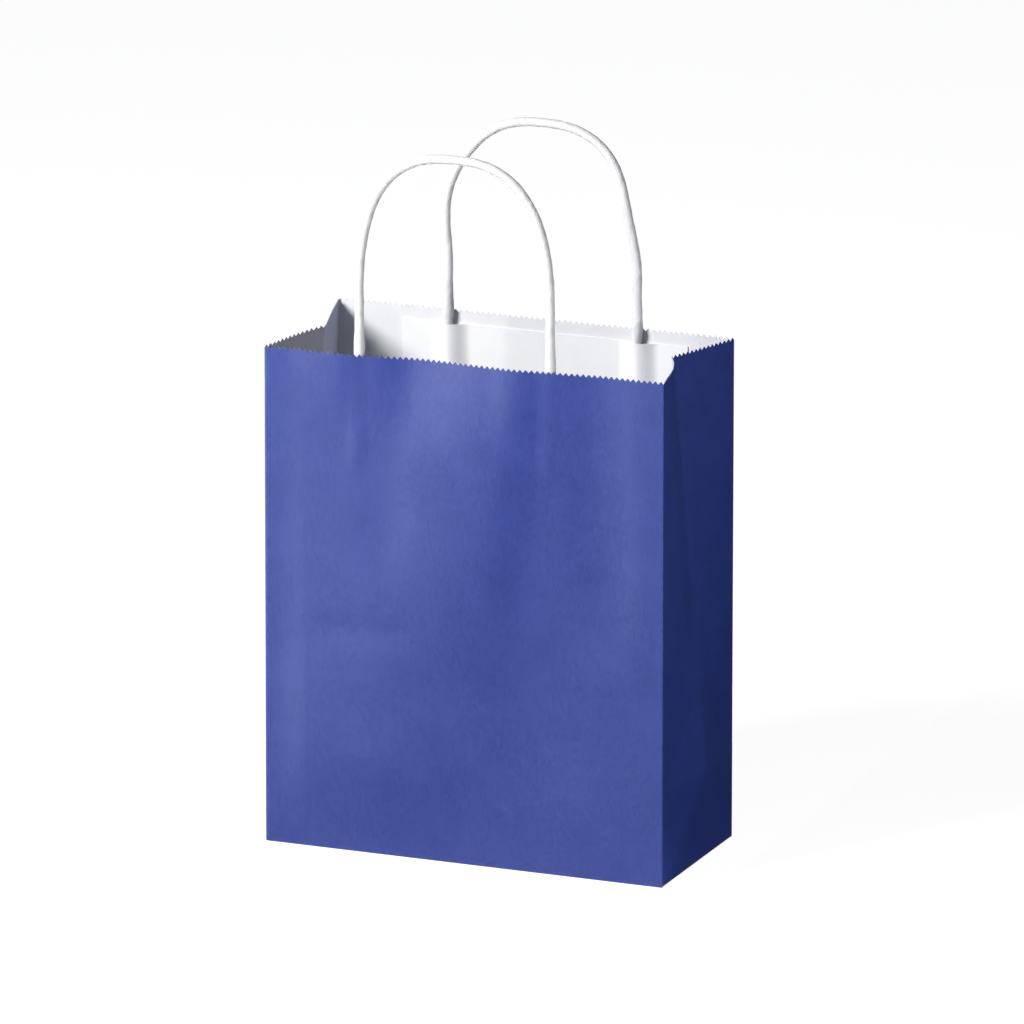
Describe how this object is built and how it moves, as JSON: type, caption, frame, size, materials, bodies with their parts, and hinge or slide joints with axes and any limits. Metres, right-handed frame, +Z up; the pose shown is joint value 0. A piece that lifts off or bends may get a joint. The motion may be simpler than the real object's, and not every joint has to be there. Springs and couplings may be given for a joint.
{
  "type": "paper carrier bag",
  "caption": "Upright paper carrier bag with folded side gussets, a flat block bottom, a pinked rim and twisted paper cord handles glued inside the panels.",
  "frame": {"origin": "middle of the base, on the plane that the bag stands on", "axes": "+Z up towards the handles, +X along the wide panels, -Y out of the front panel"},
  "size_m": [0.184, 0.0864, 0.3049],
  "materials": {
    "printed_paper": "blue printed kraft outside, bare white inside, matt",
    "handle_cord": "twisted white paper, matt",
    "strip_paper": "bare white kraft, matt"
  },
  "bodies": {
    "root": {"bag_body": "printed_paper", "front_handle": "handle_cord", "front_handle_backing": "strip_paper", "front_handle_cover": "strip_paper", "rear_handle": "handle_cord", "rear_handle_backing": "strip_paper", "rear_handle_cover": "strip_paper"}
  },
  "joints": []
}
